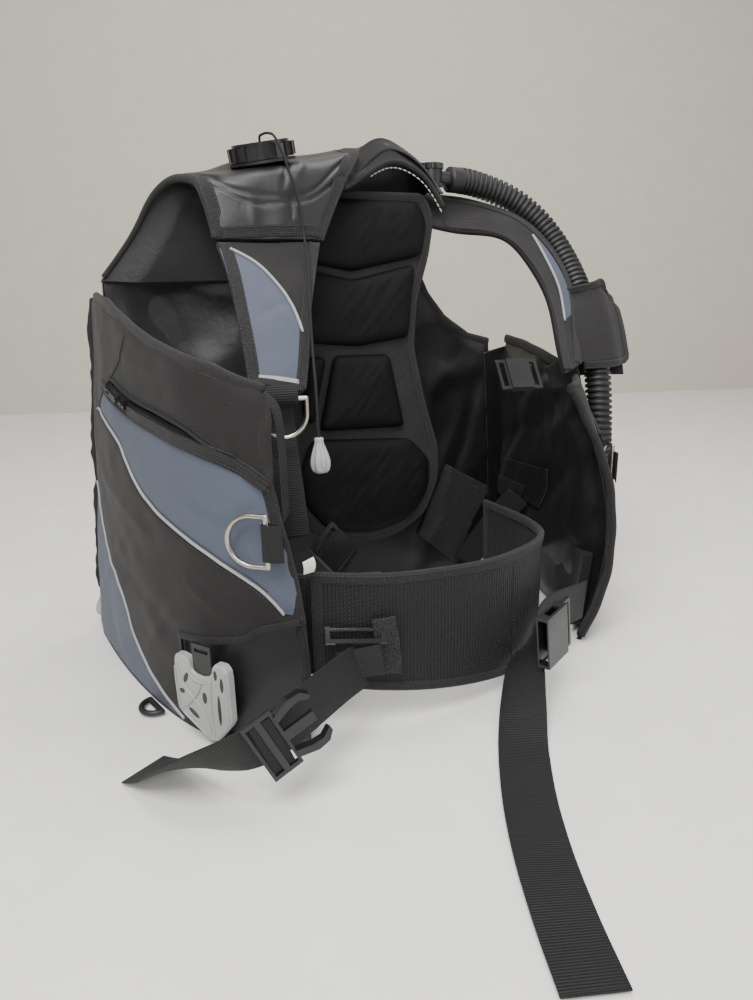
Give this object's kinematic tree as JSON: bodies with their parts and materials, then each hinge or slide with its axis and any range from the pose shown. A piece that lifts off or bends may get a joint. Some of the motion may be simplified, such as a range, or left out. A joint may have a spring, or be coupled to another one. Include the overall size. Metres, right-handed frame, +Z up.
{
  "type": "buoyancy compensator vest",
  "caption": "Jacket-style scuba buoyancy vest with padded back, pocketed wings, cummerbund, waist belt, corrugated inflator hose, dump valves and a tank band.",
  "frame": {"origin": "on the floor under the middle of the vest's bounding box, free cords and belts left out", "axes": "+X towards the wearer's left, +Y towards the tank, +Z up"},
  "size_m": [0.7094, 0.9069, 0.624],
  "materials": {
    "ballistic_black": "woven ballistic nylon, matte",
    "coated_black": "coated nylon, satin",
    "panel_grey": "grey ripstop nylon",
    "piping_silver": "reflective piping",
    "binding_black": "woven binding tape",
    "webbing_black": "woven webbing",
    "mesh_black": "ribbed mesh band",
    "pad_black": "stretch knit over foam",
    "loop_black": "hook-and-loop pile",
    "cord_black": "braided cord",
    "tag_white": "printed-free size tag",
    "plastic_black": "moulded acetal, matte",
    "plastic_gloss": "moulded, glossy",
    "plastic_grey": "light grey moulded",
    "knob_grey": "grey moulded knob",
    "zip_black": "coil zip",
    "rubber_black": "corrugated rubber",
    "steel": "stainless, brushed"
  },
  "bodies": {
    "right_zip_slider": {"right_zip_slider": "plastic_gloss"},
    "left_zip_slider": {"left_zip_slider": "plastic_gloss"},
    "right_clip_prong": {"right_clip_prong": "plastic_black"},
    "left_clip_prong": {"left_clip_prong": "plastic_black"},
    "right_wing_d_ring": {"right_wing_d_ring": "steel"},
    "left_wing_d_ring": {"left_wing_d_ring": "steel"},
    "right_shoulder_d_ring": {"right_shoulder_d_ring": "steel"},
    "rubber_ring": {"rubber_ring": "rubber_black"},
    "waist_slider_ring": {"waist_slider_ring": "plastic_gloss"},
    "dump_pull_knob": {"dump_pull_knob": "knob_grey"},
    "dump_valve_disc": {"dump_valve_disc": "rubber_black"},
    "rear_dump_knob": {"rear_dump_knob": "knob_grey"},
    "rear_dump_disc": {"rear_dump_disc": "rubber_black"},
    "inflate_button": {"inflate_button": "plastic_grey"},
    "deflate_button": {"deflate_button": "plastic_grey"},
    "cam_buckle_lever": {"cam_buckle_lever": "plastic_black"},
    "vest": {"back_panel": "coated_black", "rear_air_lobes": "ballistic_black", "right_shoulder": "coated_black", "right_shoulder_strap": "panel_grey", "collar": "binding_black", "left_shoulder": "binding_black", "right_wing": "ballistic_black", "left_wing": "coated_black", "right_pocket_panel": "ballistic_black", "left_pocket_panel": "ballistic_black", "back_pad_base": "binding_black", "back_pad_cells": "pad_black", "zip_tapes": "zip_black", "right_pinch_clip": "plastic_grey", "left_pinch_clip": "plastic_grey", "weight_pouches": "ballistic_black", "d_ring_tabs": "webbing_black", "chest_webbing": "webbing_black", "right_shoulder_buckle": "plastic_black", "left_shoulder_buckle": "plastic_black", "cummerbund_left": "mesh_black", "cummerbund_right": "mesh_black", "right_waist_strap": "webbing_black", "left_waist_strap": "webbing_black", "waist_buckle_male": "plastic_black", "waist_buckle_female": "plastic_black", "dump_valve_flange": "plastic_black", "dump_valve_cap": "plastic_gloss", "valve_springs": "steel", "dump_pull_cord": "cord_black", "rear_dump_valve": "plastic_gloss", "rear_dump_cord": "cord_black", "hose_elbow": "plastic_black", "elbow_cap": "plastic_gloss", "inflator_hose": "rubber_black", "hose_keeper": "ballistic_black", "inflator_body": "plastic_black", "mouthpiece": "rubber_black", "backpack_plate": "plastic_black", "backpack_screws": "steel", "tank_band": "webbing_black", "cam_buckle_frame": "plastic_black", "cam_buckle_pin": "steel", "carry_handle": "webbing_black"}
  },
  "joints": [
    {"name": "right_zip_slide", "type": "slide", "parent": "vest", "child": "right_zip_slider", "axis": [0.198, -0.9317, -0.3046], "range_m": [-0.03, 0.085]},
    {"name": "left_zip_slide", "type": "slide", "parent": "vest", "child": "left_zip_slider", "axis": [-0.2589, -0.9181, -0.3001], "range_m": [-0.03, 0.03]},
    {"name": "right_clip_release", "type": "slide", "parent": "vest", "child": "right_clip_prong", "axis": [0, 0, 1], "range_m": [0, 0.024]},
    {"name": "left_clip_release", "type": "slide", "parent": "vest", "child": "left_clip_prong", "axis": [0, 0, 1], "range_m": [0, 0.024]},
    {"name": "right_wing_ring_swing", "type": "hinge", "parent": "vest", "child": "right_wing_d_ring", "pos_m": [-0.215, -0.267, 0.228], "axis": [0, 0, 1], "range_deg": [0, 110]},
    {"name": "left_wing_ring_swing", "type": "hinge", "parent": "vest", "child": "left_wing_d_ring", "pos_m": [0.258, -0.207, 0.228], "axis": [0, 0, -1], "range_deg": [0, 100]},
    {"name": "shoulder_ring_swing", "type": "hinge", "parent": "vest", "child": "right_shoulder_d_ring", "pos_m": [-0.16, -0.1706, 0.3435], "axis": [-0.9536, 0.3011, 0], "range_deg": [0, 75]},
    {"name": "rubber_ring_swing", "type": "hinge", "parent": "vest", "child": "rubber_ring", "pos_m": [-0.311, -0.1224, 0.0055], "axis": [-0.2212, 0.9752, 0], "range_deg": [0, 50]},
    {"name": "slider_ring_swing", "type": "hinge", "parent": "vest", "child": "waist_slider_ring", "pos_m": [-0.12915, -0.26809, 0.12017], "axis": [0.9557, -0.2785, -0.0954], "range_deg": [-12, 8]},
    {"name": "dump_pull", "type": "slide", "parent": "vest", "child": "dump_pull_knob", "axis": [0, -0.083, -0.9965], "range_m": [0, 0.012], "stiffness_N_per_m": 260},
    {"name": "dump_disc_lift", "type": "slide", "parent": "vest", "child": "dump_valve_disc", "axis": [-0.1763, -0.0979, 0.9795], "range_m": [0, 0.004]},
    {"name": "rear_dump_pull", "type": "slide", "parent": "vest", "child": "rear_dump_knob", "axis": [-0.1925, -0.1925, -0.9623], "range_m": [0, 0.007], "stiffness_N_per_m": 260},
    {"name": "rear_disc_lift", "type": "slide", "parent": "vest", "child": "rear_dump_disc", "axis": [0, 1, 0], "range_m": [0, 0.0025]},
    {"name": "inflate_press", "type": "slide", "parent": "vest", "child": "inflate_button", "axis": [-1, 0, 0], "range_m": [0, 0.004], "stiffness_N_per_m": 400},
    {"name": "deflate_press", "type": "slide", "parent": "vest", "child": "deflate_button", "axis": [0, 0, 1], "range_m": [0, 0.004], "stiffness_N_per_m": 400},
    {"name": "cam_lever_swing", "type": "hinge", "parent": "vest", "child": "cam_buckle_lever", "pos_m": [-0.06846, 0.27163, 0.343], "axis": [0, 0, 1], "range_deg": [-105, 0]}
  ],
  "couplings": [
    {"joint": "dump_disc_lift", "follows": "dump_pull", "ratio": 0.333},
    {"joint": "rear_disc_lift", "follows": "rear_dump_pull", "ratio": 0.35}
  ]
}
